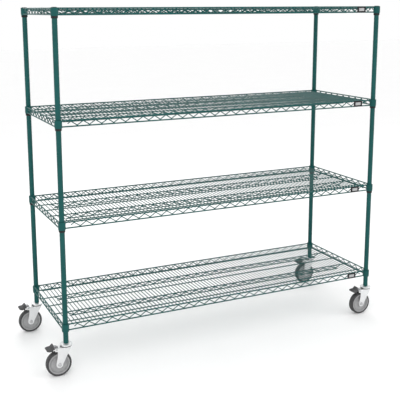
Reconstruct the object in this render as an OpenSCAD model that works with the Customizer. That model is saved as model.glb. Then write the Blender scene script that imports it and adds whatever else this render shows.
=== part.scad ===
// Four-shelf wire cart on stem casters: coated wire shelves wedged onto grooved tube posts.
// Millimetres, +Z up. The origin is on the floor, in the middle of the whole footprint
// with the casters trailing towards -X. +X runs along the shelves, +Y from front to back.

/* [Frame] */
// Distance between post axes along the shelf
post_pitch_x = 1790.7; // [1180:1:1800]
// Distance between post axes from front to back
post_pitch_y = 571.5; // [420:1:740]
// Post length
post_length = 1594; // [1530:1:1600]
// Post outer diameter
post_d = 25.4; // [25:0.1:26]
// Post wall thickness
post_wall = 1.6; // [1.2:0.1:2]
// Distance between the grooves that locate the shelves
groove_pitch = 25.4; // [25.4:0.1:26]
// Groove depth
groove_depth = 0.5; // [0.3:0.1:0.8]

/* [Shelf heights] */
// Grooves between the top of the post and the upper shelf
upper_step = 20; // [6:1:22]
// Grooves between the top of the post and the lower shelf
lower_step = 39; // [36:1:42]
// Grooves between the top of the post and the bottom shelf
bottom_step = 59; // [56:1:59]

/* [Shelf wires] */
// Diameter of the edge wires
rail_wire_d = 6.6; // [6:0.1:7]
// Height of an edge over both its wires
rail_height = 35; // [32:0.5:38]
// Distance from the post plane out to the front and back edges
rail_out_y = 2; // [1:0.5:3]
// Distance from the post plane out to the side edges
rail_out_x = 9; // [8:0.5:10]
// Diameter of the zigzag wire
snake_wire_d = 4.6; // [4:0.1:4.8]
// Length of one zigzag wave along the shelf
wave_length = 59.69; // [52:0.1:68]
// Diameter of the closely spaced surface wires
surface_wire_d = 4; // [3.6:0.1:4.2]
// Surface wires in each zigzag wave
wires_per_wave = 3; // [2:1:3]
// Diameter of the lengthwise support wires
support_wire_d = 5.6; // [5:0.1:6]
// Height of a support truss over both its wires
truss_height = 26.5; // [24:0.5:30]
// Depth that welded wires sink into each other
weld_bite = 0.4; // [0.3:0.05:0.5]

/* [Corner fittings] */
// Collar outer diameter
collar_d = 36; // [35:0.5:36]
// Collar height
collar_h = 38; // [36:0.5:40]
// Distance that a split sleeve shows below its collar, on all but the bottom shelf
sleeve_drop = 10; // [8:0.5:12]

/* [Casters] */
// Height of the seat that the post stands on
caster_h = 160; // [156:0.5:164]
// Wheel diameter
wheel_d = 125; // [118:1:125]
// Wheel width
wheel_w = 32; // [28:0.5:32]
// Distance from the swivel axis back to the axle
trail = 40; // [36:0.5:42]
// Swivel race diameter
race_d = 60; // [58:0.5:62]
// Angle that the brake pedal turns through to lock
brake_travel = 18; // [14:1:18]

/* [Hidden] */
$fn = 48;
CORNERS = ["front_left", "front_right", "back_left", "back_right"];
SIDE_X = [-1, 1, -1, 1];
SIDE_Y = [-1, -1, 1, 1];
SHELVES = ["top", "upper", "lower", "bottom"];
STEPS = [0, upper_step, lower_step, bottom_step];
SHELF_PIECES = ["deck", "trusses", "rails", "collars", "sleeves"];
CASTER_PIECES = ["stem", "fork", "swivel_balls", "fasteners", "brake_pedal",
                 "wheel_tread", "wheel_hub", "wheel_bearings"];

epoxy_green = [0.14, 0.36, 0.35];
plastic_black = [0.09, 0.09, 0.10];
zinc = [0.82, 0.83, 0.84];
hub_grey = [0.66, 0.66, 0.67];
tread_grey = [0.27, 0.27, 0.28];

// overall footprint, which the origin is centred on
wheel_r = wheel_d / 2;
race_r = race_d / 2;
footprint_shift = (trail + wheel_r - race_r) / 2;
post_top = caster_h + post_length;
half_x = post_pitch_x / 2;
half_y = post_pitch_y / 2;

// posts
post_r = post_d / 2;
post_bore_r = post_r - post_wall;
groove_half = 1.2;
groove_floor_half = 0.5;
groove_count = floor((post_length - groove_pitch / 2) / groove_pitch);

// zigzag and surface wire spacing
wave_count_x = round(post_pitch_x / wave_length);
wave_count_y = round(post_pitch_y / wave_length);
half_wave_x = post_pitch_x / wave_count_x / 2;
half_wave_y = post_pitch_y / wave_count_y / 2;
surface_pitch = 2 * half_wave_x / wires_per_wave;
surface_count = wave_count_x * wires_per_wave - 1;
support_count = 5;
support_pitch = post_pitch_y / support_count;

// heights below the top of the shelf
wire_sides = 8;
rail_r = rail_wire_d / 2;
snake_r = snake_wire_d / 2;
surface_r = surface_wire_d / 2;
support_r = support_wire_d / 2;
surface_z = -rail_wire_d - surface_r;
support_z = surface_z - surface_r - support_r + weld_bite;
truss_top_z = support_z - weld_bite - 0.05;
truss_low_z = truss_top_z - truss_height + support_wire_d;
clear_gap = 0.2;
truss_low_inset = 72;

// part of a half wave that the zigzag of an edge runs on past its last bend
rail_stub = 0.5;

// corner fittings
collar_r = collar_d / 2;
collar_lip = 1.5;
collar_toe = 8;
sleeve_top_z = -2;
sleeve_low_z = -collar_h - sleeve_drop;
bottom_sleeve_low_z = 1 - collar_h;
SLEEVE_LOW_Z = [sleeve_low_z, sleeve_low_z, sleeve_low_z, bottom_sleeve_low_z];
sleeve_top_r = 14.5;
sleeve_low_r = 16;
sleeve_slit_angle = 8;
fit_gap = 0.05;

// name plates on the front edges
plate_w = 55;
plate_h = 31;
plate_t = 3.5;
plate_corner = 3;
plate_from_post = 107;

// caster heights and sizes
race_low_z = caster_h - 9.4;
race_lip = 2;
race_top_z = caster_h - 2;
seat_r = 16;
ball_r = 2.8;
ball_z = race_low_z - 1;
ball_pitch_r = 20.5;
ball_count = 16;
ball_gap = 0.2;
crown_top_z = race_low_z - 4.1;
crown_t = 3.5;
crown_low_z = crown_top_z - crown_t;
crown_r = 27;
lower_race_r = 24.5;
lower_race_z = race_low_z - 2;
kingpin_r = 8;
kingpin_head_r = 13;
kingpin_head_h = 4;
running_gap = 0.05;
stem_r = 6;
stem_length = 76;
expander_low = 8;
expander_h = 58;
expander_nut_h = 8;
expander_nut_r = 9.5;

// fork
leg_t = 3;
leg_in = wheel_w / 2 + 3.5;
leg_out = leg_in + leg_t;
axle_z = wheel_r;
axle_r = 6;
axle_eye_r = 16.5;
tongue_end = -61;
tongue_low_z = crown_low_z - 12;
slot_half = 10.5;
slot_end = -42;

// brake
pivot_x = -52;
pivot_z = crown_low_z - 2;
pivot_r = 3;
pivot_head_r = 5;
pivot_head_t = 1.5;
pivot_boss_r = 6;
arm_half = 9;
pad_half = 20;
lobe_half = 14;
shoe_half = 12;
shoe_nose_r = 4;
shoe_reach = 22;
shoe_lock_gap = 0.5;
// the nose of the shoe just clears the tread when the pedal is fully down
hub_dx = -trail - pivot_x;
hub_dz = axle_z - pivot_z;
hub_dist = sqrt(hub_dx * hub_dx + hub_dz * hub_dz);
nose_dist = wheel_r + shoe_nose_r + shoe_lock_gap;
nose_angle = acos((hub_dist * hub_dist + shoe_reach * shoe_reach - nose_dist * nose_dist)
                  / (2 * hub_dist * shoe_reach));
shoe_angle = atan2(hub_dz, hub_dx) - nose_angle - brake_travel;

// wheel
tread_t = 10;
tread_shoulder = 4;
hub_r = wheel_r - tread_t;
hub_rim_in = hub_r - 7;
hub_rim_half = wheel_w / 2 - 1.5;
hub_web_half = 8;
hub_boss_r = 18;
hub_boss_half = wheel_w / 2 + 2;
bearing_r = 14;
bearing_w = 8;
hub_tube_r = 9;
hex_r = 9.8;
hex_h = 5;
thread_end = 2;

// a straight wire along +X that starts at x, with flats on its top, bottom and sides
module wire_x(x, length, d) {
    translate([x, 0, 0]) rotate([0, 90, 0]) rotate(180 / wire_sides)
        cylinder(h = length, d = d / cos(180 / wire_sides), $fn = wire_sides);
}

// one zigzag wire along +X in the XZ plane: its bends are half_wave apart and lie at
// z = 0 for odd numbers and at z = height for even ones, with a stub past each end
module snake(first, last, stub, half_wave, height, d) {
    slope = atan2(height, half_wave);
    reach = d / 2 / cos(slope);
    past = stub > 0 ? [stub] : [];
    bends = concat(
        [for (s = past) first - s],
        [for (i = [first:last]) i],
        [for (s = past) last + s]
    );
    line = [for (i = bends) [i * half_wave, height * abs(i % 2 - 1)]];
    rotate([90, 0, 0]) linear_extrude(d, center = true) polygon(concat(
        [for (p = line) p - [0, reach]],
        [for (i = [len(line) - 1:-1:0]) line[i] + [0, reach]]
    ));
}

// two edge wires with a zigzag between them, top of the upper wire at z = 0, from x = 0
module wire_truss(first, last, stub, half_wave, wire_d, height, top_from, top_length,
                  low_from, low_length) {
    wire_r = wire_d / 2;
    snake_inset = wire_d + snake_r - weld_bite;
    translate([0, 0, -wire_r]) wire_x(top_from, top_length, wire_d);
    translate([0, 0, wire_r - height]) wire_x(low_from, low_length, wire_d);
    translate([0, 0, snake_inset - height])
        snake(first, last, stub, half_wave, height - 2 * snake_inset, snake_wire_d);
}

// an edge of the shelf, cut to fit against the collars at both its ends
module rail(length, out, half_wave, wave_count) {
    difference() {
        translate([0, -out, 0])
            wire_truss(2, 2 * wave_count - 2, rail_stub, half_wave, rail_wire_d, rail_height,
                       0, length, 0, length);
        for (x = [0, length])
            translate([x, 0, -rail_height - 1]) cylinder(h = rail_height + 2, r = collar_r);
    }
}

module shelf_rails() {
    color(epoxy_green) {
        for (turn = [0, 180])
            rotate(turn) translate([-half_x, -half_y, 0])
            rail(post_pitch_x, rail_out_y, half_wave_x, wave_count_x);
        for (turn = [90, 270])
            rotate(turn) translate([-half_y, -half_x, 0])
            rail(post_pitch_y, rail_out_x, half_wave_y, wave_count_y);
    }
}

module shelf_deck() {
    surface_length = post_pitch_y - 2 * (rail_r - rail_out_y + clear_gap);
    end_inset = collar_r + clear_gap;
    color(epoxy_green) {
        for (i = [1:surface_count])
            translate([i * surface_pitch - half_x, 0, surface_z])
            rotate(90) wire_x(-surface_length / 2, surface_length, surface_wire_d);
        for (i = [0:2:support_count - 1]) {
            middle = i == (support_count - 1) / 2;
            reach = middle ? rail_out_x - snake_r - clear_gap : -end_inset;
            translate([0, (i + 0.5) * support_pitch - half_y, support_z])
                wire_x(-half_x - reach, post_pitch_x + 2 * reach, support_wire_d);
        }
    }
}

module shelf_trusses() {
    reach = rail_out_x - snake_r - clear_gap;
    first = 2;
    color(epoxy_green)
        for (i = [1, 3])
        translate([-half_x, (i + 0.5) * support_pitch - half_y, truss_top_z + support_r])
        wire_truss(first, 2 * wave_count_x - first, 0, half_wave_x, support_wire_d, truss_height,
                   -reach, post_pitch_x + 2 * reach,
                   truss_low_inset, post_pitch_x - 2 * truss_low_inset);
}

module at_posts() {
    for (i = [0:3]) translate([SIDE_X[i] * half_x, SIDE_Y[i] * half_y, 0]) children();
}

// radius of the tapered split sleeve at a height below the top of the shelf
function sleeve_r(z) = sleeve_top_r
    + (sleeve_low_r - sleeve_top_r) * (sleeve_top_z - z) / (sleeve_top_z - sleeve_low_z);

module shelf_collars() {
    color(epoxy_green) at_posts() rotate_extrude()
        polygon([
            [sleeve_r(0) + fit_gap, 0],
            [collar_r - collar_lip, 0],
            [collar_r, -collar_lip],
            [collar_r, collar_toe - collar_h],
            [collar_r - 1, -collar_h],
            [sleeve_r(-collar_h) + fit_gap, -collar_h]
        ]);
}

// split sleeves that reach down to a height below the top of the shelf
module shelf_sleeves(low_z) {
    bead = groove_depth - fit_gap;
    inner = post_r + fit_gap;
    half_angle = 180 - sleeve_slit_angle;
    color(plastic_black) at_posts()
        for (turn = [0, 180]) rotate(turn + sleeve_slit_angle / 2)
        rotate_extrude(angle = half_angle)
        polygon([
            [inner, sleeve_top_z],
            [sleeve_top_r, sleeve_top_z],
            [sleeve_r(low_z + 1), low_z + 1],
            [sleeve_r(low_z) - 1, low_z],
            [inner, low_z],
            [inner, -groove_pitch - groove_half],
            [inner - bead, -groove_pitch - groove_floor_half + fit_gap],
            [inner - bead, -groove_pitch + groove_floor_half - fit_gap],
            [inner, -groove_pitch + groove_half]
        ]);
}

module post() {
    color(epoxy_green) translate([0, 0, caster_h]) rotate_extrude()
        polygon(concat(
            [[post_bore_r, post_length], [post_bore_r, 0], [post_r, 0]],
            [for (i = [groove_count:-1:1])
                let (z = post_length - i * groove_pitch)
                each [[post_r, z - groove_half],
                      [post_r - groove_depth, z - groove_floor_half],
                      [post_r - groove_depth, z + groove_floor_half],
                      [post_r, z + groove_half]]],
            [[post_r, post_length]]
        ));
}

module post_caps() {
    flange_h = 2.5;
    plug_h = 16;
    color(plastic_black) at_posts() translate([0, 0, post_top]) rotate_extrude()
        polygon([
            [0, -plug_h],
            [post_bore_r - 1, -plug_h],
            [post_bore_r - fit_gap, -plug_h + 2],
            [post_bore_r - fit_gap, 0],
            [post_r, 0],
            [post_r, flange_h - 1],
            [post_r - 1.2, flange_h],
            [0, flange_h]
        ]);
}

module label_plates() {
    x = half_x - plate_from_post;
    y = -half_y - rail_out_y - rail_r;
    color(plastic_black) for (step = STEPS)
        translate([x, y, post_top - step * groove_pitch - rail_height / 2])
        rotate([90, 0, 0]) linear_extrude(plate_t) {
            square([plate_w - 2 * plate_corner, plate_h], center = true);
            square([plate_w, plate_h - 2 * plate_corner], center = true);
            for (sx = [-1, 1], sy = [-1, 1])
                translate([sx * (plate_w / 2 - plate_corner), sy * (plate_h / 2 - plate_corner)])
                circle(r = plate_corner);
        }
}

// race that the post stands on, with the stem inside the post and the kingpin below
module stem() {
    head_top_z = crown_low_z - clear_gap;
    color(zinc) difference() {
        rotate_extrude() polygon([
            [0, head_top_z - kingpin_head_h],
            [kingpin_head_r - 1, head_top_z - kingpin_head_h],
            [kingpin_head_r, head_top_z - kingpin_head_h + 1],
            [kingpin_head_r, head_top_z],
            [kingpin_r, head_top_z],
            [kingpin_r, race_low_z],
            [race_r, race_low_z],
            [race_r, race_top_z - race_lip],
            [race_r - race_lip, race_top_z],
            [seat_r, caster_h],
            [stem_r, caster_h],
            [stem_r, caster_h + stem_length - 1],
            [stem_r - 1, caster_h + stem_length],
            [0, caster_h + stem_length]
        ]);
        translate([0, 0, ball_z]) rotate_extrude()
            translate([ball_pitch_r, 0]) circle(r = ball_r + ball_gap);
    }
}

module stem_expanders() {
    low = caster_h + expander_low;
    color(plastic_black) at_posts() {
        translate([0, 0, low]) difference() {
            cylinder(h = expander_h, r = post_bore_r - fit_gap);
            translate([0, 0, -1]) cylinder(h = expander_h + 2, r = stem_r + fit_gap);
        }
        translate([0, 0, low + expander_h + fit_gap]) difference() {
            cylinder(h = expander_nut_h, r = expander_nut_r, $fn = 6);
            translate([0, 0, -1]) cylinder(h = expander_nut_h + 2, r = stem_r + fit_gap);
        }
    }
}

module swivel_balls() {
    color(zinc) for (i = [0:ball_count - 1])
        rotate(i * 360 / ball_count) translate([ball_pitch_r, 0, ball_z]) sphere(r = ball_r);
}

module along_y(length) {
    rotate([90, 0, 0]) linear_extrude(length, center = true) children();
}

module fork_side() {
    along_y(leg_t) {
        polygon([
            [crown_r - 4, crown_top_z],
            [tongue_end, crown_top_z],
            [tongue_end, tongue_low_z + 3],
            [tongue_end + 3, tongue_low_z],
            [-51, tongue_low_z],
            [-47.5, tongue_low_z - 4],
            [-49, axle_z + 40],
            [-trail - axle_eye_r, axle_z + 5],
            [-trail, axle_z],
            [-trail + axle_eye_r, axle_z + 2],
            [-17, axle_z + 12],
            [4, axle_z + 52],
            [14, tongue_low_z + 2]
        ]);
        translate([-trail, axle_z]) circle(r = axle_eye_r);
    }
}

module fork() {
    color(zinc) difference() {
        union() {
            translate([0, 0, crown_low_z]) linear_extrude(crown_t) difference() {
                union() {
                    circle(r = crown_r);
                    translate([tongue_end, -leg_out]) square([-tongue_end, 2 * leg_out]);
                }
                translate([tongue_end - 1, -slot_half])
                    square([slot_end - tongue_end + 1, 2 * slot_half]);
            }
            translate([0, 0, crown_top_z]) cylinder(h = lower_race_z - crown_top_z, r = lower_race_r);
            for (side = [-1, 1]) translate([0, side * (leg_in + leg_t / 2), 0]) fork_side();
        }
        translate([0, 0, crown_low_z - 1]) cylinder(h = 20, r = kingpin_r + running_gap);
        translate([0, 0, ball_z]) rotate_extrude()
            translate([ball_pitch_r, 0]) circle(r = ball_r + running_gap);
        translate([-trail, 0, axle_z]) rotate([90, 0, 0])
            cylinder(h = 4 * leg_out, r = axle_r + running_gap, center = true);
        translate([pivot_x, 0, pivot_z]) rotate([90, 0, 0])
            cylinder(h = 4 * leg_out, r = pivot_r + running_gap, center = true);
    }
}

// axle bolt, its nut and the pin that the pedal turns on
module fasteners() {
    color(zinc) {
        translate([-trail, 0, axle_z]) rotate([90, 0, 0]) {
            translate([0, 0, -leg_out - hex_h - thread_end])
                cylinder(h = 2 * leg_out + hex_h + thread_end, r = axle_r);
            translate([0, 0, leg_out]) cylinder(h = hex_h, r = hex_r, $fn = 6);
            translate([0, 0, -leg_out - hex_h]) difference() {
                cylinder(h = hex_h, r = hex_r, $fn = 6);
                translate([0, 0, -1]) cylinder(h = hex_h + 2, r = axle_r + running_gap);
            }
        }
        translate([pivot_x, 0, pivot_z]) rotate([90, 0, 0]) {
            cylinder(h = 2 * leg_out, r = pivot_r, center = true);
            for (side = [-1, 1])
                translate([0, 0, side * (leg_out + pivot_head_t / 2)])
                cylinder(h = pivot_head_t, r = pivot_head_r, center = true);
        }
    }
}

// two-lobed pedal: push the flat pad down to lock the wheel, the upright lobe to free it
module brake_pedal() {
    nose_x = pivot_x + shoe_reach * cos(shoe_angle);
    nose_z = pivot_z + shoe_reach * sin(shoe_angle);
    color(tread_grey) difference() {
        union() {
            along_y(2 * arm_half) {
                translate([pivot_x, pivot_z]) circle(r = pivot_boss_r);
                polygon([
                    [pivot_x, pivot_z - pivot_boss_r],
                    [pivot_x + 5, pivot_z + 10],
                    [-68, pivot_z + 12],
                    [-68, pivot_z - 5]
                ]);
            }
            along_y(2 * pad_half) polygon([
                [-64, pivot_z + 2],
                [-64, pivot_z + 9],
                [-80, pivot_z + 9],
                [-98, pivot_z + 6],
                [-101.5, pivot_z + 2],
                [-98, pivot_z - 3],
                [-86, pivot_z - 7.5],
                [-75, pivot_z - 6.5]
            ]);
            along_y(2 * lobe_half) polygon([
                [-63.5, pivot_z],
                [-63.5, pivot_z + 19],
                [-66, pivot_z + 23],
                [-69, pivot_z + 22],
                [-82, pivot_z + 9],
                [-82, pivot_z]
            ]);
            along_y(2 * shoe_half) {
                translate([nose_x, nose_z]) circle(r = shoe_nose_r);
                polygon([
                    [nose_x - shoe_nose_r, nose_z],
                    [nose_x + shoe_nose_r, nose_z],
                    [-65, pivot_z + 4],
                    [-78, pivot_z + 4]
                ]);
            }
        }
        translate([pivot_x, 0, pivot_z]) rotate([90, 0, 0])
            cylinder(h = 3 * pad_half, r = pivot_r + running_gap, center = true);
    }
}

module on_axle() {
    translate([-trail, 0, axle_z]) rotate([90, 0, 0]) children();
}

module wheel_tread() {
    half_w = wheel_w / 2;
    flat_half = half_w - tread_shoulder;
    color(tread_grey) on_axle() rotate_extrude() {
        translate([hub_r, -flat_half]) square([tread_t, 2 * flat_half]);
        translate([hub_r, -half_w]) square([tread_t - tread_shoulder, wheel_w]);
        for (side = [-1, 1])
            translate([wheel_r - tread_shoulder, side * flat_half]) circle(r = tread_shoulder);
    }
}

module wheel_hub() {
    seat_half = hub_boss_half - bearing_w;
    half_outline = [
        [hub_tube_r, seat_half],
        [bearing_r, seat_half],
        [bearing_r, hub_boss_half],
        [hub_boss_r - 1, hub_boss_half],
        [hub_boss_r, hub_boss_half - 1],
        [hub_boss_r + 2, hub_web_half + 2],
        [hub_rim_in - 6, hub_web_half],
        [hub_rim_in, hub_rim_half - 1],
        [hub_rim_in + 1, hub_rim_half],
        [hub_r, hub_rim_half]
    ];
    last = len(half_outline) - 1;
    color(hub_grey) on_axle() rotate_extrude() polygon(concat(
        half_outline,
        [for (i = [last:-1:0]) [half_outline[i][0], -half_outline[i][1]]]
    ));
}

module wheel_bearings() {
    seal_depth = 0.8;
    bore_r = axle_r + running_gap;
    color(zinc) on_axle() for (side = [-1, 1])
        translate([0, 0, side * (hub_boss_half - bearing_w / 2)]) difference() {
            cylinder(h = bearing_w, r = bearing_r, center = true);
            cylinder(h = bearing_w + 2, r = bore_r, center = true);
            translate([0, 0, side * bearing_w / 2]) rotate_extrude()
                translate([axle_r + 2.5, -seal_depth]) square([bearing_r - axle_r - 5, 2 * seal_depth]);
        }
}

module placed(x, y, z) {
    translate([footprint_shift + x, y, z]) children();
}

for (i = [0:3]) placed(SIDE_X[i] * half_x, SIDE_Y[i] * half_y, 0) {
    post();
    stem();
    fork();
    swivel_balls();
    fasteners();
    brake_pedal();
    wheel_tread();
    wheel_hub();
    wheel_bearings();
}
for (i = [0:3]) placed(0, 0, post_top - STEPS[i] * groove_pitch) {
    shelf_deck();
    shelf_trusses();
    shelf_rails();
    shelf_collars();
    shelf_sleeves(SLEEVE_LOW_Z[i]);
}
placed(0, 0, 0) {
    post_caps();
    label_plates();
    stem_expanders();
}
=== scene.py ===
import math

import bmesh
import bpy
import numpy as np
from mathutils import Matrix, Vector


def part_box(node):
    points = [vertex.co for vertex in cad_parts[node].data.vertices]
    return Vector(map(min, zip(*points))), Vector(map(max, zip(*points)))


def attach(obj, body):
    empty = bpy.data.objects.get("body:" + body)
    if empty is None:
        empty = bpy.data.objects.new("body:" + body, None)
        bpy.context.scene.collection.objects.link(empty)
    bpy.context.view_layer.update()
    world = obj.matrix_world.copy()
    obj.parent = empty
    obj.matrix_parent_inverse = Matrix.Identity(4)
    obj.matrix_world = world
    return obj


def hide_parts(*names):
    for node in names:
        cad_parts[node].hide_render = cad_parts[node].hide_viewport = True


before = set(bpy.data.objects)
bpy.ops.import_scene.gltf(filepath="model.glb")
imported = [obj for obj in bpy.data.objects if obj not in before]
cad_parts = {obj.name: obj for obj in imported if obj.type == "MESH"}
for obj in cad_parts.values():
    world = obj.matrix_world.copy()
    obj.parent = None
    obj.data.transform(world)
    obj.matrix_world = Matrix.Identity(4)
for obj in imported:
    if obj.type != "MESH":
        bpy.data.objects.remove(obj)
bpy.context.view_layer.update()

# A four-shelf wire cart on stem casters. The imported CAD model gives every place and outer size;
# this script builds the round wires, pressed steel and moulded parts that show, and their materials.
# Lengths are in metres. Each shelf is drawn round its own middle, z = 0 at the top of its edge
# wires, and each caster round its post's axis with z = 0 on the floor.

MM = 0.001

SHELVES = ("top", "upper", "lower", "bottom")
CORNERS = ("front_left", "front_right", "back_left", "back_right")

# ---------------------------------------------------------------- places read from the frame


def middle(node):
    """Centre of a CAD node's box."""
    low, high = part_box(node)
    return (low + high) / 2


post_at = {corner: middle("post_" + corner) for corner in CORNERS}
mid_x = (post_at["front_left"].x + post_at["front_right"].x) / 2
half_x = post_at["front_right"].x - mid_x
half_y = post_at["back_left"].y
shelf_top = {shelf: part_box(shelf + "_shelf_rails")[1].z for shelf in SHELVES}
post_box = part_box("post_front_left")
post_low, post_high = post_box[0].z, post_box[1].z
post_r = (post_box[1].x - post_box[0].x) / 2
CORNER_SIDES = [(sx, sy) for sx in (-1, 1) for sy in (-1, 1)]

# ---------------------------------------------------------------- wire sizes, as in the CAD model

rail_r = 3.3 * MM
snake_r = 2.3 * MM
surface_r = 2.0 * MM
support_r = 2.8 * MM
bend_r = 4.0 * MM
weld_bite = 0.4 * MM
clear_gap = 0.2 * MM
touch_gap = 0.05 * MM
rail_stub = 0.5
rail_height = 35.0 * MM
truss_height = 26.5 * MM
rail_out_y = 2.0 * MM
rail_out_x = 9.0 * MM
collar_r = 18.0 * MM
waves_x, waves_y = 30, 10
wires_per_wave = 3
support_count = 5
half_wave_x = half_x / waves_x
half_wave_y = half_y / waves_y
surface_z = -2 * rail_r - surface_r
support_z = surface_z - surface_r - support_r + weld_bite
truss_top_z = support_z - weld_bite - touch_gap
truss_inset = 72 * MM
support_pitch = 2 * half_y / support_count

# ---------------------------------------------------------------- mesh building

MERGE_DISTANCE = 0.002 * MM
WIRE_TIP_LENGTH = 0.5
WIRE_TIP_WIDTH = 0.55


def in_metres(points):
    """Points written in millimetres, in metres."""
    return [tuple(value * MM for value in point) for point in points]


def closed_ring(points):
    """A profile in millimetres that ends where it starts, in metres."""
    return in_metres([*points, points[0]])


def arc(radius, start, stop, step):
    """(across, up) points on an arc, with its angles in degrees."""
    return [(radius * math.cos(math.radians(a)), radius * math.sin(math.radians(a)))
            for a in range(start, stop, step)]


class Shape:
    """Collects points and faces of one mesh, each face with a material number."""

    def __init__(self):
        self.points, self.faces, self.marks = [], [], []
        self.count = 0

    def add(self, points, faces, mark=0):
        """Adds points and faces, whose corners count from the first of these points."""
        points = np.asarray(points, float).reshape(-1, 3)
        self.points.append(points)
        self.faces += [tuple(i + self.count for i in face) for face in faces]
        self.marks += [mark] * len(faces)
        self.count += len(points)

    def rings(self, rings, mark=0, closed=True, caps=True):
        """Skins rings of equal length in order. A closed ring joins its ends."""
        rings = np.asarray(rings, float)
        n_rings, n = rings.shape[:2]
        faces = []
        steps = n if closed else n - 1
        for r in range(n_rings - 1):
            for k in range(steps):
                a, b = r * n + k, r * n + (k + 1) % n
                faces.append((a, b, b + n, a + n))
        if caps:
            faces.append(tuple(range(n))[::-1])
            faces.append(tuple(range((n_rings - 1) * n, n_rings * n)))
        self.add(rings, faces, mark)

    def wire(self, path, side, radius, sides):
        """A round wire along a flat path. side is square to the whole path; its ends are rounded."""
        path = np.asarray(path, float)
        side = np.asarray(side, float)
        ahead = np.gradient(path, axis=0)
        ahead /= np.linalg.norm(ahead, axis=1)[:, None]
        first, last = ahead[0], ahead[-1]
        tip = radius * WIRE_TIP_LENGTH
        path = np.vstack([path[0] - first * tip, path, path[-1] + last * tip])
        ahead = np.vstack([first, ahead, last])
        size = np.full(len(path), radius)
        size[[0, -1]] = radius * WIRE_TIP_WIDTH
        up = np.cross(ahead, side)
        turn = (np.arange(sides) + 0.5) * 2 * math.pi / sides
        out = side * np.cos(turn)[:, None] + up[:, None] * np.sin(turn)[:, None]
        self.rings(path[:, None] + out * size[:, None, None])

    def lathe(self, profile, axis=2, at=(0, 0, 0), segments=48, start=0.0, sweep=360.0):
        """Turns (radius, height) points about Y (axis 1) or Z (axis 2). A profile turned by less than
        a full turn is taken as closed and gets two end faces."""
        profile = np.asarray(profile, float)
        full = sweep >= 360
        steps = segments if full else max(3, round(segments * sweep / 360)) + 1
        turn = np.radians(start + np.linspace(0, sweep, steps, endpoint=not full))
        r, h = profile[:, 0], profile[:, 1]
        flat = [np.cos(turn)[:, None] * r, np.sin(turn)[:, None] * r, np.ones(steps)[:, None] * h]
        order = {1: (1, 2, 0), 2: (0, 1, 2)}[axis]
        grid = np.stack([flat[i] for i in order], -1) + np.asarray(at, float)
        n = len(profile)
        faces = []
        for s in range(steps if full else steps - 1):
            for k in range(n - 1 if full else n):
                a, b = s * n + k, s * n + (k + 1) % n
                c, d = ((s + 1) % steps) * n + (k + 1) % n, ((s + 1) % steps) * n + k
                faces.append((a, d, c, b))
        if not full:
            faces.append(tuple(range(n)))
            faces.append(tuple(range((steps - 1) * n, steps * n))[::-1])
        self.add(grid, faces)

    def bead(self, at, size, around=8, rings=5):
        """A small oval blob, such as a weld under its coat of epoxy."""
        tilt = np.linspace(-math.pi / 2, math.pi / 2, rings + 1)[1:-1]
        turn = np.arange(around) * 2 * math.pi / around
        body = np.stack([
            np.cos(tilt)[:, None] * np.cos(turn),
            np.cos(tilt)[:, None] * np.sin(turn),
            np.sin(tilt)[:, None] * np.ones(around),
        ], -1)
        self.rings(np.asarray(at) + body * np.asarray(size))

    def slab(self, outline, y0, y1):
        """Extrudes an (x, z) outline along Y."""
        n = len(outline)
        points = [(x, y, z) for y in (y0, y1) for x, z in outline]
        faces = [(k, (k + 1) % n, (k + 1) % n + n, k + n) for k in range(n)]
        faces += [tuple(range(n))[::-1], tuple(range(n, 2 * n))]
        self.add(points, faces)

    def mesh(self, name, smooth=38):
        """The collected faces as one mesh, its equal points joined and its faces turned outwards."""
        made = bpy.data.meshes.new(name)
        made.from_pydata(np.vstack(self.points).tolist(), [], self.faces)
        made.polygons.foreach_set("material_index", self.marks)
        tidy = bmesh.new()
        tidy.from_mesh(made)
        bmesh.ops.remove_doubles(tidy, verts=tidy.verts, dist=MERGE_DISTANCE)
        bmesh.ops.recalc_face_normals(tidy, faces=tidy.faces)
        tidy.to_mesh(made)
        tidy.free()
        soften(made, smooth)
        return made


def soften(mesh, angle):
    """Smooth shading, with edges sharper than angle degrees kept crisp."""
    mesh.polygons.foreach_set("use_smooth", [True] * len(mesh.polygons))
    mesh.set_sharp_from_angle(angle=math.radians(angle))


def shaped(mesh, modifiers):
    """The mesh after these modifiers, each given as (type, {setting: value})."""
    holder = bpy.data.objects.new("holder", mesh)
    bpy.context.scene.collection.objects.link(holder)
    for kind, settings in modifiers:
        modifier = holder.modifiers.new(kind, kind)
        for key, value in settings.items():
            setattr(modifier, key, value)
    depsgraph = bpy.context.evaluated_depsgraph_get()
    made = bpy.data.meshes.new_from_object(holder.evaluated_get(depsgraph))
    bpy.data.objects.remove(holder)
    return made


def place(name, mesh, at, body, materials, replaces=()):
    """Adds a piece that shows mesh at a point, rides on a body and takes the given materials."""
    piece = bpy.data.objects.new(name, mesh)
    bpy.context.scene.collection.objects.link(piece)
    piece.location = at
    if not mesh.materials:
        for material in materials:
            mesh.materials.append(material)
    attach(piece, body)
    if replaces:
        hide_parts(*replaces)
    return piece


# ---------------------------------------------------------------- materials


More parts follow.
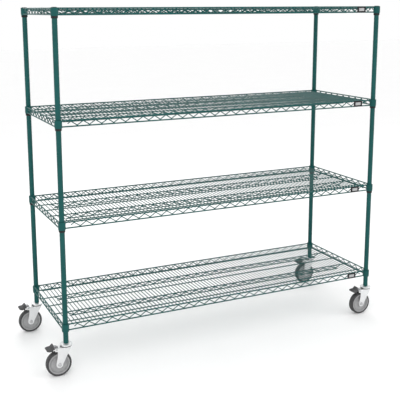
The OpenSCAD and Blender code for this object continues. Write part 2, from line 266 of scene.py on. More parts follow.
class Nodes:
    """A material's node tree, with its Principled shader and its object coordinates."""

    def __init__(self, name, roughness=0.5, metallic=0.0, **inputs):
        self.material = bpy.data.materials.new(name)
        self.material.use_nodes = True
        self.tree = self.material.node_tree
        self.shader = self.tree.nodes["Principled BSDF"]
        self.shader.inputs["Roughness"].default_value = roughness
        self.shader.inputs["Metallic"].default_value = metallic
        for key, value in inputs.items():
            self.shader.inputs[key.replace("_", " ")].default_value = value
        self.place = self.tree.nodes.new("ShaderNodeTexCoord").outputs["Object"]

    def link(self, a, b):
        self.tree.links.new(a, b)

    def stretched(self, scale):
        """Object coordinates with a scale for each axis."""
        mapping = self.tree.nodes.new("ShaderNodeMapping")
        mapping.inputs["Scale"].default_value = scale
        self.link(self.place, mapping.inputs["Vector"])
        return mapping.outputs["Vector"]

    def noise(self, scale, detail=3.0, stretch=None, roughness=0.5):
        node = self.tree.nodes.new("ShaderNodeTexNoise")
        node.inputs["Scale"].default_value = scale
        node.inputs["Detail"].default_value = detail
        node.inputs["Roughness"].default_value = roughness
        self.link(self.stretched(stretch) if stretch else self.place, node.inputs["Vector"])
        return node.outputs["Fac"]

    def cells(self, scale):
        node = self.tree.nodes.new("ShaderNodeTexVoronoi")
        node.inputs["Scale"].default_value = scale
        self.link(self.place, node.inputs["Vector"])
        return node

    def ramp(self, value, stops):
        """Colours a value by its stops, each (value, colour)."""
        node = self.tree.nodes.new("ShaderNodeValToRGB")
        ramp = node.color_ramp
        while len(ramp.elements) < len(stops):
            ramp.elements.new(0.5)
        for element, (at, colour) in zip(ramp.elements, stops):
            element.position = at
            element.color = (*colour, 1.0)
        self.link(value, node.inputs["Fac"])
        return node.outputs["Color"]

    def span(self, value, low, high, first=0.3, last=0.7):
        """Maps a texture value between first and last onto low to high."""
        node = self.tree.nodes.new("ShaderNodeMapRange")
        node.inputs["From Min"].default_value = first
        node.inputs["From Max"].default_value = last
        node.inputs["To Min"].default_value = low
        node.inputs["To Max"].default_value = high
        self.link(value, node.inputs["Value"])
        return node.outputs["Result"]

    def mix(self, share, a, b):
        """Colour a where share is 0 and colour b where it is 1."""
        node = self.tree.nodes.new("ShaderNodeMix")
        node.data_type = "RGBA"
        self.link(share, node.inputs["Factor"])
        self.link(a, node.inputs["A"])
        self.link(b, node.inputs["B"])
        return node.outputs["Result"]

    def bump(self, layers):
        """layers are (height, distance in metres); each adds to the one before."""
        before = None
        for height, distance in layers:
            node = self.tree.nodes.new("ShaderNodeBump")
            node.inputs["Distance"].default_value = distance
            self.link(height, node.inputs["Height"])
            if before:
                self.link(before, node.inputs["Normal"])
            before = node.outputs["Normal"]
        self.link(before, self.shader.inputs["Normal"])

    def colour(self, value):
        self.link(value, self.shader.inputs["Base Color"])

    def rough(self, value):
        self.link(value, self.shader.inputs["Roughness"])


def epoxy():
    """Green epoxy powder coat: slight orange peel, cloudy tone, a few rubbed spots."""
    n = Nodes("green_epoxy", Specular_IOR_Level=0.22)
    cloud = n.ramp(n.noise(7, 4), [(0.3, (0.0025, 0.064, 0.060)), (0.7, (0.0045, 0.088, 0.083))])
    rubbed = n.ramp(n.noise(60, 6), [(0.5, (0.006, 0.078, 0.073)), (0.9, (0.02, 0.13, 0.12))])
    n.colour(n.mix(n.span(n.noise(23, 5, roughness=0.7), 0, 1, 0.66, 0.74), cloud, rubbed))
    n.rough(n.span(n.noise(35, 4), 0.26, 0.42))
    n.bump([(n.noise(650, 2), 0.00012), (n.noise(180, 2), 0.00018)])
    return n.material


def zinc():
    """Bright zinc plate on pressed steel: faint spangle, drawing marks, soft reflections."""
    n = Nodes("zinc_plate", metallic=1.0)
    cells = n.cells(260)
    tone = n.ramp(cells.outputs["Color"], [(0.1, (0.72, 0.73, 0.74)), (0.9, (0.80, 0.805, 0.81))])
    haze = n.ramp(n.noise(30, 4), [(0.35, (0.70, 0.705, 0.71)), (0.7, (0.83, 0.83, 0.835))])
    n.colour(n.mix(n.span(n.noise(55, 5), 0.2, 0.8), tone, haze))
    n.rough(n.span(n.noise(90, 5), 0.34, 0.48))
    n.bump([(n.noise(900, 3, stretch=(1, 1, 0.12)), 0.00006), (n.noise(120, 3), 0.0001)])
    return n.material


def steel(name, dark, light, rough_low, rough_high):
    """Bare turned or pressed steel: fine scratches over an uneven polish."""
    n = Nodes(name, metallic=1.0)
    n.colour(n.ramp(n.noise(300, 3), [(0.3, dark), (0.7, light)]))
    n.rough(n.span(n.noise(500, 4), rough_low, rough_high))
    n.bump([(n.noise(1500, 2), 0.00002)])
    return n.material


def moulded(name, dark, light, rough_low, rough_high, grain, depth, **inputs):
    """Moulded plastic: a fine spark-eroded grain over a slightly uneven tone."""
    n = Nodes(name, **inputs)
    n.colour(n.ramp(n.noise(45, 5), [(0.3, dark), (0.72, light)]))
    n.rough(n.span(n.noise(120, 4), rough_low, rough_high))
    n.bump([(n.noise(grain, 3), depth), (n.noise(60, 2), depth * 1.5)])
    return n.material


def rubber():
    """Dark grey tread: scuffed and dusty in patches, with a fine moulded skin."""
    n = Nodes("tread_rubber", Specular_IOR_Level=0.35)
    skin = n.ramp(n.noise(70, 6), [(0.3, (0.038, 0.038, 0.040)), (0.75, (0.070, 0.070, 0.072))])
    dust = n.ramp(n.noise(150, 6), [(0.4, (0.085, 0.083, 0.080)), (0.8, (0.14, 0.137, 0.13))])
    n.colour(n.mix(n.span(n.noise(38, 7, roughness=0.72), 0, 0.7, 0.52, 0.72), skin, dust))
    n.rough(n.span(n.noise(80, 5), 0.55, 0.8))
    n.bump([(n.noise(1100, 3), 0.00008), (n.noise(240, 4), 0.00016)])
    return n.material


GREEN = epoxy()
ZINC = zinc()
STEEL = steel("polished_steel", (0.62, 0.62, 0.63), (0.72, 0.72, 0.73), 0.10, 0.24)
BOLT = steel("bolt_steel", (0.46, 0.46, 0.47), (0.58, 0.58, 0.59), 0.28, 0.42)
ARM = steel("arm_steel", (0.26, 0.26, 0.27), (0.36, 0.36, 0.37), 0.35, 0.5)
RUBBER = rubber()
BLACK = moulded("black_plastic", (0.012, 0.012, 0.013), (0.028, 0.028, 0.030), 0.42, 0.6, 1400, 0.00008,
                Specular_IOR_Level=0.15)
PEDAL = moulded("pedal_plastic", (0.050, 0.050, 0.052), (0.080, 0.080, 0.083), 0.45, 0.62, 1000, 0.0001,
                Specular_IOR_Level=0.3)
HUB = moulded("hub_plastic", (0.29, 0.29, 0.295), (0.38, 0.38, 0.385), 0.38, 0.52, 1200, 0.00006)
PLATE = moulded("plate_plastic", (0.010, 0.011, 0.012), (0.022, 0.023, 0.025), 0.28, 0.42, 800, 0.00005,
                Specular_IOR_Level=0.2)
PANEL = moulded("plate_panel", (0.36, 0.36, 0.365), (0.44, 0.44, 0.445), 0.35, 0.5, 700, 0.00004)

# ---------------------------------------------------------------- shelves


BEND_POINTS = 6


def snake_path(first, last, stub, half_wave, low_z, high_z):
    """(along, z) points of the zigzag's middle line: up at even numbers, down at odd ones.
    stub is the part of a half wave that it runs on past its last bends."""
    rise = high_z - low_z - 2 * bend_r
    span = math.hypot(half_wave, rise)
    slope = math.atan2(rise, half_wave) + math.asin(2 * bend_r / span)
    points = []
    for i in range(first, last + 1):
        up = 1 if i % 2 == 0 else -1
        centre = high_z - bend_r if up > 0 else low_z + bend_r
        start = 0 if i == first and not stub else -1
        stop = 0 if i == last and not stub else 1
        for share in np.linspace(start, stop, BEND_POINTS):
            angle = share * slope
            points.append((i * half_wave + bend_r * math.sin(angle),
                           centre + up * bend_r * math.cos(angle)))
    if stub:
        fall = (0.5 - stub) * half_wave * math.tan(slope)
        end_z = (low_z + high_z) / 2 + (fall if first % 2 == 0 else -fall)
        points = [((first - stub) * half_wave, end_z), *points, ((last + stub) * half_wave, end_z)]
    return points


def lattice(shape, direction, offset, origin, bends, stub, half_wave, height, wire_r, top, low,
            top_z=0.0):
    """Two straight wires with a zigzag between, in the plane at offset. bends are the numbers of
    its first and last bend, top and low the spans of the two wires."""
    along = np.array(direction, float)
    across = np.cross(along, (0, 0, 1))
    start = along * origin + across * offset

    def at(s, z):
        return start + along * s + np.array((0, 0, z + top_z))

    for (s0, s1), z in ((top, -wire_r), (low, wire_r - height)):
        shape.wire([at(s0, z), at((s0 + s1) / 2, z), at(s1, z)], across, wire_r, 14)
    inset = 2 * wire_r + snake_r - weld_bite
    first, last = bends
    path = snake_path(first, last, stub, half_wave, inset - height, -inset)
    shape.wire([at(s, z) for s, z in path], across, snake_r, 10)
    weld = np.abs(along) * 2.1 * snake_r + np.abs(across) * 1.1 * snake_r + np.array((0, 0, 1.5 * MM))
    for i in range(first, last + 1):
        z = -inset + snake_r if i % 2 == 0 else inset - snake_r - height
        shape.bead(at(i * half_wave, z), weld)


def cut(out):
    """How far from the post's axis a rail at this offset ends, just inside the collar's wall."""
    sunk = 0.8 * MM
    return math.sqrt(collar_r ** 2 - out ** 2) - sunk


def rails_mesh():
    """The four edges of a shelf, welded to its collars."""
    shape = Shape()
    sides = (((1, 0), half_x, half_y, rail_out_y, half_wave_x, waves_x),
             ((0, 1), half_y, half_x, rail_out_x, half_wave_y, waves_y))
    for (dx, dy), half, away, out, half_wave, waves in sides:
        span = (cut(out), 2 * half - cut(out))
        for side in (-1, 1):
            lattice(shape, (dx, dy, 0), side * (away + out), -half, (2, 2 * waves - 2), rail_stub,
                    half_wave, rail_height, rail_r, span, span)
    for sx, sy in CORNER_SIDES:
        for z in (-rail_r, rail_r - rail_height):
            shape.bead((sx * (half_x - cut(rail_out_y)), sy * (half_y + rail_out_y), z),
                       (3.4 * MM, 4.2 * MM, 4.4 * MM))
            shape.bead((sx * (half_x + rail_out_x), sy * (half_y - cut(rail_out_x)), z),
                       (4.2 * MM, 3.4 * MM, 4.4 * MM))
    return shape.mesh("rails")


def deck_mesh():
    """Surface wires welded on three lengthwise wires, with a bead at every crossing."""
    shape = Shape()
    reach_y = half_y - (rail_r - rail_out_y + clear_gap)
    pitch = 2 * half_wave_x / wires_per_wave
    rows = [(i + 0.5) * support_pitch - half_y for i in range(support_count)]
    for i in range(1, waves_x * wires_per_wave):
        x = i * pitch - half_x
        shape.wire([(x, -reach_y, surface_z), (x, 0, surface_z), (x, reach_y, surface_z)],
                   (1, 0, 0), surface_r, 10)
        for side in (-1, 1):
            shape.bead((x, side * (reach_y - 0.4 * MM), surface_z + 0.9 * MM),
                       (surface_r + 0.8 * MM, 1.6 * MM, surface_r), 8, 4)
        for row in rows:
            shape.bead((x, row, surface_z - surface_r),
                       (surface_r + 0.7 * MM, surface_r + 1.1 * MM, 1.4 * MM), 8, 4)
    for i in range(0, support_count, 2):
        row = rows[i]
        in_middle = i == support_count // 2
        reach = half_x - clear_gap + (rail_out_x - snake_r if in_middle else -collar_r)
        shape.wire([(-reach, row, support_z), (0, row, support_z), (reach, row, support_z)],
                   (0, 1, 0), support_r, 12)
    return shape.mesh("deck")


def trusses_mesh():
    """The two supports under the deck that stand between its lengthwise wires."""
    shape = Shape()
    reach = rail_out_x - snake_r - clear_gap
    for row in (1, 3):
        lattice(shape, (1, 0, 0), half_y - (row + 0.5) * support_pitch, -half_x, (2, 2 * waves_x - 2), 0,
                half_wave_x, truss_height, support_r, (-reach, 2 * half_x + reach),
                (truss_inset, 2 * half_x - truss_inset), truss_top_z + support_r)
    return shape.mesh("trusses")


def collars_mesh():
    """Four pressed collars with a rolled lip and a drawn-in toe."""
    shape = Shape()
    profile = [(14.6, -1.0), (14.9, -0.2), (15.5, 0.2), (16.4, 0.1), (17.3, -0.5), (17.8, -1.6),
               (18.0, -3.2), (18.0, -29.0), (17.7, -32.0), (17.1, -36.0), (16.9, -37.6), (16.4, -38.0),
               (15.8, -37.7), (15.5, -37.0)]
    for sx, sy in CORNER_SIDES:
        shape.lathe(closed_ring(profile), at=(sx * half_x, sy * half_y, 0), segments=56)
    return shape.mesh("collars", 50)


SKIRT = ((15.65, -38.4), (15.9, -38.9), (16.0, -40.2), (15.7, -41.2), (15.8, -46.4), (15.4, -47.6),
         (14.8, -48.0), (12.9, -47.9), (12.75, -47.2))
FLUSH = ((15.6, -36.2), (15.4, -36.7), (14.8, -37.0), (12.9, -36.9), (12.75, -36.2))


def sleeves_mesh(lower_end):
    """Split sleeves, two halves to a post. SKIRT steps out below the collar, FLUSH ends inside it."""
    shape = Shape()
    profile = in_metres([(12.75, -2.0), (14.2, -1.7), (14.5, -2.3), *lower_end])
    slit_angle = 8
    for sx, sy in CORNER_SIDES:
        for start in (0, 180):
            shape.lathe(profile, at=(sx * half_x, sy * half_y, 0), segments=56,
                        start=start + slit_angle / 2, sweep=180 - slit_angle)
    return shape.mesh("sleeves", 45)


def plate_mesh():
    """A blank name plate: a frame with rounded corners, a sunk panel and two ribs beside it."""
    w, h, t, corner_r = 55 * MM, 31 * MM, 3.5 * MM, 3 * MM
    corners = ((1, 1, 0), (-1, 1, 90), (-1, -1, 180), (1, -1, 270))

    def outline(inset, y):
        radius = max(corner_r - inset, 0.3 * MM)
        return [(sx * (w / 2 - corner_r) + across, y, sz * (h / 2 - corner_r) + up)
                for sx, sz, start in corners for across, up in arc(radius, start, start + 91, 18)]

    shape = Shape()
    shape.rings([outline(0.8 * MM, 0), outline(0, -0.6 * MM), outline(0, -t + 0.9 * MM),
                 outline(0.8 * MM, -t), outline(2.4 * MM, -t), outline(3.0 * MM, -t + 0.8 * MM)])
    half_w, half_h, face = 0.31 * w, 0.25 * h, -t + 0.35 * MM
    rows = [[(sx * (half_w - inset), y, sz * (half_h - inset)) for sx, sz, _ in corners]
            for inset, y in ((0, -t + 0.9 * MM), (0.1 * MM, face), (0.5 * MM, face - 0.2 * MM))]
    shape.rings(rows, 1)
    for side in (-1, 1):
        for step in (0, 1):
            x = side * (half_w + (2.6 + step * 2.4) * MM)
            shape.bead((x, -t + 0.7 * MM, 0), (0.8 * MM, 0.7 * MM, half_h), 8, 9)
    return shape.mesh("name_plate", 35)


# ---------------------------------------------------------------- posts


def post_mesh():
    """A tube with a rounded groove every inch down from its top."""
    pitch, depth, half = 25.4 * MM, 0.5 * MM, 1.2 * MM
    groove = ((-1.15, 0), (-0.85, 0.25), (-0.45, 0.9), (0, 1), (0.45, 0.9), (0.85, 0.25), (1.15, 0))
    length = post_high - post_low
    bore_r = post_r - 1.6 * MM
    ease_r, ease_z = post_r - 0.3 * MM, 0.4 * MM
    profile = [(bore_r, length - 0.3 * MM), (bore_r, 0), (ease_r, 0), (post_r, ease_z)]
    for i in range(int((length - pitch / 2) / pitch), 0, -1):
        z = length - i * pitch
        profile += [(post_r - depth * sink, z + share * half) for share, sink in groove]
    profile += [(post_r, length - ease_z), (ease_r, length), profile[0]]
    shape = Shape()
    shape.lathe(profile, segments=40)
    return shape.mesh("post", 60)


def cap_mesh():
    """A low domed plug in the top of a post."""
    profile = [(0, -16), (11.0, -16.0), (11.05, -1.0), (11.1, 0.05), (12.5, 0.1), (12.68, 0.7),
               (12.4, 1.3), (11.2, 1.9), (8.5, 2.3), (4.5, 2.46), (0.0, 2.5)]
    shape = Shape()
    shape.lathe(in_metres(profile), segments=40)
    return shape.mesh("cap", 50)


# ---------------------------------------------------------------- casters

trail = 40 * MM
axle_z = 62.5 * MM
axle_at = (-trail, 0, axle_z)
pivot_x, pivot_z = -52 * MM, 141 * MM
ball_count, ball_r, ball_pitch_r, ball_z = 16, 2.8 * MM, 20.5 * MM, 149.6 * MM


def on_axle(shape, profile, segments):
    """Turns (radius, distance along the axle) points in millimetres about the wheel's axle."""
    shape.lathe(in_metres(profile), 1, axle_at, segments)


def at_pivot(points):
    """(x, height above the pedal's pin) points in millimetres, as (x, z) points in metres."""
    return [(x * MM, pivot_z + z * MM) for x, z in points]


def race_mesh():
    """Upper race with its pressed rim, the post's seat, the stem and the riveted kingpin."""
    profile = [(0, 138.8), (9.5, 138.8), (12.4, 139.6), (13.0, 140.6), (13.0, 142.3), (12.6, 142.75),
               (8.0, 142.8), (8.0, 151.0), (16.0, 151.0), (17.6, 152.4), (20.5, 153.0), (23.4, 152.4),
               (25.0, 150.9), (28.8, 150.65), (29.7, 151.0), (30.0, 151.8), (30.0, 155.6), (29.6, 157.0),
               (28.6, 157.9), (27.2, 158.2), (20.5, 158.4), (18.6, 158.7), (17.4, 159.6), (16.6, 160.0),
               (6.0, 160.0), (6.0, 235.0), (5.0, 236.0), (0, 236.0)]
    shape = Shape()
    shape.lathe(in_metres(profile), segments=64)
    return shape.mesh("race", 42)


def seal_and_gap_shade_mesh():
    """Black ring in the gap between the upper race and the fork's crown: a guessed lip seal, whose black
    also paints the shade that falls in that gap.
    """
    shape = Shape()
    ring = [(25.3, 146.7), (27.4, 146.4), (28.2, 147.4), (28.0, 149.4), (27.2, 150.3), (25.3, 150.3)]
    shape.lathe(closed_ring(ring), segments=64)
    return shape.mesh("race_seal_and_gap_shade", 50)


def stations(rows, step):
    """Piecewise straight (z, back, front) rows, filled in so that none is more than step apart."""
    filled = [rows[0]]
    for row in rows[1:]:
        last = filled[-1]
        parts = max(1, math.ceil(abs(row[0] - last[0]) / step))
        filled += [tuple(last[k] + (row[k] - last[k]) * n / parts for k in range(3))
                   for n in range(1, parts + 1)]
    return filled


def fork_mesh():
    """Pressed steel fork: one sheet bent down both sides of the crown, with the pedal's tongue behind."""
    thick, leg_y, bend_r, top_z, eye_r = 3.0, 21.0, 5.5, 144.75, 16.5
    crown_r, tongue_end, shoulder, slot_end = 27.0, -61.0, 17.6, -42.0
    ez, ex = axle_z / MM, -trail / MM
    rows = [(ez + up, ex - across, ex + across) for across, up in arc(eye_r, -80, 10, 10)]
    rows += [(ez + 2, -56.5, -23.1), (ez + 6, -56.2, -20.9), (ez + 12, -55.0, -17.2),
             (ez + 26, -52.0, -9.8), (ez + 40, -49.1, -2.6), (ez + 52, -48.3, 3.4),
             (ez + 60, -47.8, 7.8), (127.0, -47.6, 10.0), (129.6, -48.7, 11.6), (130.8, -51.6, 12.3),
             (131.1, -56.0, 12.5), (131.8, -58.8, 12.9), (133.5, -60.6, 13.8), (136.0, tongue_end, 15.4),
             (top_z - bend_r, tongue_end, shoulder)]
    line = [(-leg_y, z, back, front) for z, back, front in stations(rows, 4)]
    bend_steps = 6
    for step in range(1, bend_steps + 1):
        angle = math.pi / 2 * step / bend_steps
        line.append((-leg_y + bend_r - bend_r * math.cos(angle), top_z - bend_r + bend_r * math.sin(angle),
                     tongue_end, shoulder + 3.6 * step / bend_steps))
    backs = [(y, tongue_end) for y in (-14.5, -13.2, -12.0, -11.2, -10.7)]
    backs += [(-10.4, -60.0), (-10.2, -43.6), (-9.6, -42.6)] + [(y, slot_end) for y in (-8.4, -5, -2.5)]
    line += [(y, top_z, back, math.sqrt(crown_r ** 2 - y ** 2)) for y, back in backs]
    line += [(0, top_z, slot_end, crown_r)] + [(-y, z, back, front) for y, z, back, front in line[::-1]]
    grid = [in_metres([(x, y, z) for x in np.linspace(back, front, 28)]) for y, z, back, front in line]
    shape = Shape()
    shape.rings(grid, closed=False, caps=False)
    sheet = shape.mesh("fork_sheet", 60)
    sheet = shaped(sheet, [
        ("SOLIDIFY", {"thickness": thick * MM, "offset": 0.0, "use_even_offset": True}),
        ("BEVEL", {"width": 0.5 * MM, "segments": 2, "limit_method": "ANGLE", "angle_limit": 0.9}),
    ])
    shape = Shape()
    race = [(8.05, 143.2), (8.05, 148.2), (8.6, 148.5), (16.2, 148.5), (17.4, 147.6), (20.5, 146.7),
            (23.0, 147.3), (24.2, 148.3), (24.5, 147.9), (25.2, 146.6), (26.4, 146.1), (26.6, 144.4)]
    shape.lathe(in_metres(race), segments=64)
    embossed = [(6.2, 21.4), (6.2, 22.9), (10.4, 22.9), (11.4, 22.5), (11.9, 21.4), (6.2, 21.4)]
    for side in (-1, 1):
        on_axle(shape, [(r, side * y) for r, y in embossed], 32)
    extra = shape.mesh("fork_extra")
    both = bmesh.new()
    both.from_mesh(sheet)
    both.from_mesh(extra)
    made = bpy.data.meshes.new("fork")
    both.to_mesh(made)
    both.free()
    soften(made, 40)
    return made


def hexagon(shape, seat_y, side, thick, across):
    """A hex head or nut on the axle, with chamfered corners, standing out along Y from seat_y."""
    rings = []
    for lift, size in ((0, 1), (thick - 0.9 * MM, 1), (thick - 0.25 * MM, 0.94), (thick, 0.86)):
        points = []
        for angle in np.radians(range(0, 360, 15)):
            flat = across / 2 / math.cos((angle + math.pi / 6) % (math.pi / 3) - math.pi / 6)
            radius = min(flat, across / math.sqrt(3) * size)
            points.append((-trail + radius * math.cos(angle), seat_y + side * lift,
                           axle_z + radius * math.sin(angle)))
        rings.append(points)
    shape.rings(rings)


def fasteners_mesh():
    """Axle bolt and nut on their washers, and the pin that the pedal turns on."""
    shape = Shape()
    washer = [(6.05, 22.9), (6.05, 23.8), (8.6, 23.8), (9.2, 23.5), (9.4, 22.9), (6.05, 22.9)]
    for side in (-1, 1):
        on_axle(shape, [(r, side * y) for r, y in washer], 40)
        hexagon(shape, side * 23.7 * MM, side, 4.6 * MM, 15.6 * MM)
    on_axle(shape, [(0.0, -22.6), (6.0, -22.6), (6.0, 22.6), (0.0, 22.6)], 40)
    thread, thread_pitch = [(0.0, 27.6)], 0.45
    for turn in range(4):
        y = 27.7 + thread_pitch * turn
        thread += [(5.9, y), (5.4, y + 0.22)]
    thread += [(4.9, 29.4), (0.0, 29.45)]
    on_axle(shape, thread, 40)
    pin = [(0.0, -24.0), (3.6, -24.0), (4.6, -23.6), (5.0, -22.9), (5.0, -22.5), (3.0, -22.5), (3.0, 22.5),
           (5.0, 22.5), (5.0, 22.9), (4.6, 23.6), (3.6, 24.0), (0.0, 24.0)]
    shape.lathe(in_metres(pin), 1, (pivot_x, 0, pivot_z), 32)
    return shape.mesh("fasteners", 40)


def hub_mesh():
    """Moulded hub: stepped rim, sunk web with rings, and a bored boss."""
    half = [(9.0, 10.0), (14.0, 10.0), (14.0, 17.4), (14.5, 18.0), (17.2, 18.0), (17.9, 17.3), (18.2, 12.5),
            (19.4, 10.4), (21.5, 9.6), (28.0, 9.2), (28.5, 10.3), (30.3, 10.3), (30.8, 9.2), (38.4, 9.0),
            (38.8, 11.0), (39.3, 11.5), (40.6, 11.5), (41.1, 11.0), (41.5, 8.4), (42.2, 8.0), (44.3, 8.0),
            (45.0, 8.6), (45.4, 13.4), (46.1, 14.3), (47.0, 14.5), (51.2, 14.5), (52.2, 13.9), (52.5, 13.0)]
    shape = Shape()
    on_axle(shape, half + [(r, -y) for r, y in half[::-1]] + half[:1], 72)
    return shape.mesh("hub", 40)


def tread_mesh():
    """Rubber tread with round shoulders, a low crown and two moulding lines."""
    ring = [(52.5, -13.2), (53.4, -15.2), (55.0, -16.0), (58.0, -15.8), (60.2, -14.6), (61.6, -12.6),
            (62.2, -10.2), (62.35, -9.4), (62.1, -9.1), (62.4, -8.8), (62.5, -5.0), (62.5, 5.0),
            (62.4, 8.8), (62.1, 9.1), (62.35, 9.4), (62.2, 10.2), (61.6, 12.6), (60.2, 14.6),
            (58.0, 15.8), (55.0, 16.0), (53.4, 15.2), (52.5, 13.2)]
    shape = Shape()
    on_axle(shape, ring + ring[:1], 96)
    return shape.mesh("tread", 50)


def bearings_mesh():
    """Two bearings: outer ring, sunk seal and inner ring."""
    ring = [(6.05, 10.0), (6.05, 17.9), (6.4, 18.0), (8.2, 18.0), (8.6, 17.6), (8.7, 17.2), (11.4, 17.2),
            (11.5, 17.6), (11.9, 18.0), (13.6, 18.0), (14.0, 17.7), (14.0, 10.0), (6.05, 10.0)]
    shape = Shape()
    for side in (-1, 1):
        on_axle(shape, [(r, side * y) for r, y in ring], 48)
    return shape.mesh("bearings", 40)


def balls_mesh():
    """The ring of steel balls between the two swivel races."""
    shape = Shape()
    for k in range(ball_count):
        angle = 2 * math.pi * k / ball_count
        at = (ball_pitch_r * math.cos(angle), ball_pitch_r * math.sin(angle), ball_z)
        shape.bead(at, (ball_r,) * 3, 16, 10)
    return shape.mesh("balls", 60)


def pedal_mesh():
    """Moulded two-lobed pedal: a flat pad to lock and an upright lobe to free."""
    shape = Shape()
    pad = [(-64, 2), (-64, 9), (-72, 9.4), (-80, 9), (-90, 7.8), (-98, 6), (-101, 3.6), (-100.4, -0.6),
           (-98, -3), (-92, -5.6), (-86, -7.2), (-80, -7.4), (-75, -6.5), (-69, -2)]
    lobe = [(-63.8, 0), (-63.8, 18.5), (-64.8, 21.8), (-66.6, 22.6), (-69, 21.6), (-76, 15), (-82, 9),
            (-82, 0)]
    boss = [(pivot_x / MM + across, up) for across, up in arc(6, 0, 360, 24)]
    neck = [(-52, -5.8), (-49, 5.2), (-66, 7.5), (-66, -4.5)]
    for outline, half in ((pad, 19.4), (lobe, 13.6), (boss, 8.8), (neck, 8.8)):
        shape.slab(at_pivot(outline), -half * MM, half * MM)
    return shaped(shape.mesh("pedal_rough"), [
        ("REMESH", {"mode": "VOXEL", "voxel_size": 0.7 * MM, "use_smooth_shade": True}),
        ("SMOOTH", {"factor": 0.5, "iterations": 9}),
        ("DECIMATE", {"ratio": 0.22}),
    ])


def pedal_grip_mesh():
    """Grip ribs across the pedal: four on its flat pad and three on its upright lobe."""
    shape = Shape()
    pad_ribs = at_pivot([(-94.0 + 5.6 * k, 7.05 + 0.784 * k) for k in range(4)])
    lobe_ribs = at_pivot([(-70.6 - 3.3 * k, 20.6 - 3.2 * k) for k in range(3)])
    for ribs, reach, high in ((pad_ribs, 16.5, 0.8), (lobe_ribs, 11.2, 1.0)):
        for x, z in ribs:
            shape.bead((x, 0, z), (1.0 * MM, reach * MM, high * MM), 12, 12)
    return shape.mesh("pedal_grip")


def arm_mesh():
    """Steel arm from the pedal to its pin: two cheeks joined by a strip over the top."""
    cheek = [(-64.5, 1), (-64.5, 10.5), (-60, 11.6), (-52, 11.2), (-47.6, 9.6), (-46.4, 4), (-46.6, -2.4),
             (-50, -5.4), (-55, -5.6), (-60, -3)]
    strip = [(-64.5, 9.2), (-64.5, 11.2), (-60, 12.2), (-50, 11.6), (-50, 9.9), (-60, 10.6)]
    shape = Shape()
    for outline, y0, y1 in ((cheek, -9.0, -6.6), (cheek, 6.6, 9.0), (strip, -9.0, 9.0)):
        shape.slab(at_pivot(outline), y0 * MM, y1 * MM)
    return shaped(shape.mesh("arm_rough"), [
        ("BEVEL", {"width": 0.5 * MM, "segments": 2, "limit_method": "ANGLE", "angle_limit": 0.5}),
    ])


def shoe_mesh():
    """Rubber-faced shoe under the pedal. Its nose is the lowest point of the pedal's CAD solid."""
    nose_r, reach = 4 * MM, 22 * MM
    nose_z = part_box("front_left_brake_pedal")[0].z + nose_r
    nose_x = pivot_x - math.sqrt(reach ** 2 - (pivot_z - nose_z) ** 2)
    outline = [(nose_x + across, nose_z + up) for across, up in arc(nose_r, 180, 361, 20)]
    outline += in_metres([(-66, 143), (-77, 143)])
    shape = Shape()
    shape.slab(outline, -11.6 * MM, 11.6 * MM)
    return shaped(shape.mesh("shoe_rough"), [
        ("BEVEL", {"width": 0.8 * MM, "segments": 3, "limit_method": "ANGLE", "angle_limit": 0.5}),
    ])


# ---------------------------------------------------------------- assembly


def build_shelves():
    """Four shelves of the same pieces. The bottom one's sleeves don't show below its collars."""
    green = {"rails": rails_mesh(), "deck": deck_mesh(), "trusses": trusses_mesh(),
             "collars": collars_mesh()}
    sleeves = sleeves_mesh(SKIRT)
    for shelf in SHELVES:
        at = (mid_x, 0, shelf_top[shelf])
        for kind, mesh in green.items():
            place(f"{shelf}_{kind}", mesh, at, "cart_frame", [GREEN],
                  [f"{shelf}_shelf_{kind}"])
        place(f"{shelf}_sleeves", sleeves_mesh(FLUSH) if shelf == "bottom" else sleeves, at, "cart_frame",
              [BLACK], [f"{shelf}_shelf_sleeves"])
    plate = plate_mesh()
    low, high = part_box("label_plates")
    for shelf in SHELVES:
        at = ((low.x + high.x) / 2, high.y, shelf_top[shelf] - rail_height / 2)
        node = ["label_plates"] if shelf == "top" else []
        place(f"{shelf}_name_plate", plate, at, "cart_frame", [PLATE, PANEL], node)


def build_posts():
    """Posts and their caps. The first cap stands for the CAD node that holds all four."""
    post, cap = post_mesh(), cap_mesh()
    for corner in CORNERS:
        x, y, _ = post_at[corner]
        place(f"{corner}_post", post, (x, y, post_low), "cart_frame", [GREEN],
              [f"post_{corner}"])
        node = ["post_caps"] if corner == "front_left" else []
        place(f"{corner}_cap", cap, (x, y, post_high), "cart_frame", [BLACK], node)


def build_casters():
    """Each part: name, mesh, body, material, record slot and the CAD node that it replaces."""
    parts = [
        ("race", race_mesh(), "cart_frame", ZINC, "zinc_plate", "stem"),
        ("fork_steel", fork_mesh(), "swivel", ZINC, "zinc_plate", "fork"),
        ("balls", balls_mesh(), "swivel", STEEL, "bearing_steel", "swivel_balls"),
        ("bolts", fasteners_mesh(), "swivel", BOLT, "zinc_plate", "fasteners"),
        # Black ring under the race: a guessed seal, its black also painted shade for the gap between race
        # and crown.
        ("race_seal_and_gap_shade", seal_and_gap_shade_mesh(), "swivel", BLACK, "black_plastic", None),
        ("pedal", pedal_mesh(), "brake", PEDAL, "pedal_plastic", "brake_pedal"),
        ("pedal_grip", pedal_grip_mesh(), "brake", PEDAL, "pedal_plastic", None),
        ("pedal_arm", arm_mesh(), "brake", ARM, "zinc_plate", None),
        ("shoe", shoe_mesh(), "brake", RUBBER, "tread_rubber", None),
        ("tread", tread_mesh(), "wheel", RUBBER, "tread_rubber", "wheel_tread"),
        ("hub", hub_mesh(), "wheel", HUB, "hub_plastic", "wheel_hub"),
        ("bearings", bearings_mesh(), "wheel", STEEL, "bearing_steel", "wheel_bearings"),
    ]
    for corner in CORNERS:
        x, y, _ = post_at[corner]
        for kind, mesh, body, material, slot, node in parts:
            rides = body if body == "cart_frame" else f"{corner}_{body}"
            place(f"{corner}_{kind}", mesh, (x, y, 0), rides, [material],
                  [f"{corner}_{node}"] if node else [])


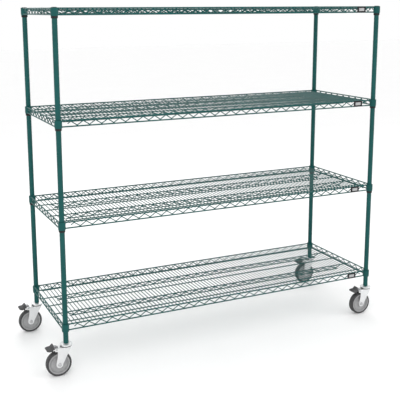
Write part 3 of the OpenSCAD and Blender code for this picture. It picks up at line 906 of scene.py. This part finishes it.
def finish_hidden_nodes():
    """The expanders inside the posts stay as the CAD model has them, in black plastic."""
    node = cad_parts["stem_expanders"]
    node.data.materials.clear()
    node.data.materials.append(BLACK)


build_shelves()
build_posts()
build_casters()
finish_hidden_nodes()

# ---------------------------------------------------------------- stage, lights and camera


def build_floor():
    """A plain pale floor that reaches far past the view."""
    reach = 30
    mesh = bpy.data.meshes.new("floor")
    mesh.from_pydata([(-reach, -reach, 0), (reach, -reach, 0), (reach, reach, 0), (-reach, reach, 0)], [],
                     [(0, 1, 2, 3)])
    n = Nodes("floor", roughness=0.6)
    n.colour(n.ramp(n.noise(1.5, 3), [(0.3, (0.982, 0.982, 0.982)), (0.7, (0.995, 0.995, 0.995))]))
    mesh.materials.append(n.material)
    floor = bpy.data.objects.new("floor", mesh)
    bpy.context.scene.collection.objects.link(floor)


def area_light(name, at, target, size, power):
    """A soft box of this width and height at a point, turned to face its target."""
    light = bpy.data.lights.new(name, "AREA")
    light.shape = "RECTANGLE"
    light.size, light.size_y = size
    light.energy = power
    lamp = bpy.data.objects.new(name, light)
    bpy.context.scene.collection.objects.link(lamp)
    lamp.location = at
    lamp.rotation_mode = "QUATERNION"
    lamp.rotation_quaternion = (Vector(target) - Vector(at)).to_track_quat("-Z", "Y")


def build_light():
    """White surroundings with a key light from the left front, a weak fill and a light from behind."""
    world = bpy.data.worlds.new("studio")
    world.use_nodes = True
    world.node_tree.nodes["Background"].inputs["Color"].default_value = (1, 1, 1, 1)
    world.node_tree.nodes["Background"].inputs["Strength"].default_value = 1.0
    bpy.context.scene.world = world
    area_light("key", (-2.6, -3.6, 4.2), (0, 0, 0.8), (2.4, 2.4), 60)
    area_light("fill", (4.2, -2.6, 2.6), (0, 0, 0.8), (2.0, 3.0), 25)
    area_light("rim", (0.6, 4.4, 3.6), (0, 0, 0.9), (3.0, 1.6), 40)


def build_camera():
    """The photograph's viewing angle: from the left front, level with the top shelf."""
    data = bpy.data.cameras.new("camera")
    data.sensor_width = 36
    data.lens = 68.47
    data.shift_x = 0.0384
    data.shift_y = -0.12
    data.clip_start, data.clip_end = 0.05, 200
    camera = bpy.data.objects.new("camera", data)
    bpy.context.scene.collection.objects.link(camera)
    camera.location = (-1.7831, -3.6583, 1.7468)
    yaw, pitch, roll = (math.radians(a) for a in (24.847, 10.689, -0.268))
    forward = Vector((math.sin(yaw) * math.cos(pitch), math.cos(yaw) * math.cos(pitch), -math.sin(pitch)))
    right = Vector((math.cos(yaw), -math.sin(yaw), 0))
    up = right.cross(forward)
    tilted = math.cos(roll) * right + math.sin(roll) * up
    upright = tilted.cross(forward)
    camera.rotation_mode = "QUATERNION"
    camera.rotation_quaternion = Matrix((tilted, upright, -forward)).transposed().to_quaternion()
    bpy.context.scene.camera = camera


build_floor()
build_light()
build_camera()
bpy.context.scene.view_settings.view_transform = "Standard"
